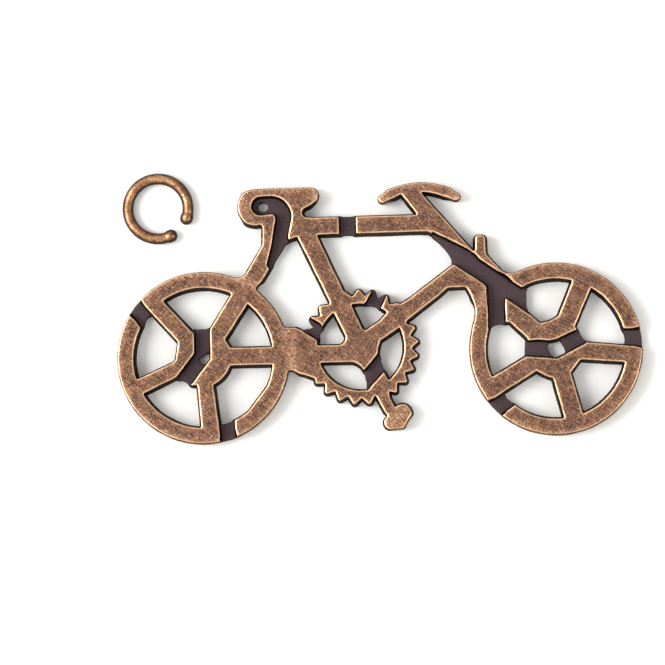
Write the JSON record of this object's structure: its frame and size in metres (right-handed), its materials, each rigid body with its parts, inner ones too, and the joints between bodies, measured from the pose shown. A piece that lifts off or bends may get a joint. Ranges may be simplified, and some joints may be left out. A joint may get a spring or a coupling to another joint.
{
  "type": "ring disentanglement puzzle",
  "caption": "Flat cast metal plate in the outline of a bicycle, with lowered notches and through openings, and a loose open ring of round wire that is worked along it.",
  "frame": {"origin": "middle of the underside of the whole set as it lies on a table, the plate with the ring beside it", "axes": "+X along the line through both wheel hubs, towards the front wheel; +Y up the bicycle, towards the saddle and handlebar; +Z out of the notched face"},
  "size_m": [0.1096, 0.0572, 0.004],
  "materials": {
    "plate_metal": "satin",
    "ring_metal": "satin"
  },
  "bodies": {
    "bicycle": {"bicycle_plate": "plate_metal"},
    "ring": {"open_ring": "ring_metal"}
  },
  "joints": [
    {"name": "ring_lift", "type": "slide", "parent": "bicycle", "child": "ring", "axis": [0, 0, 1], "range_m": [0, 0.03]}
  ]
}
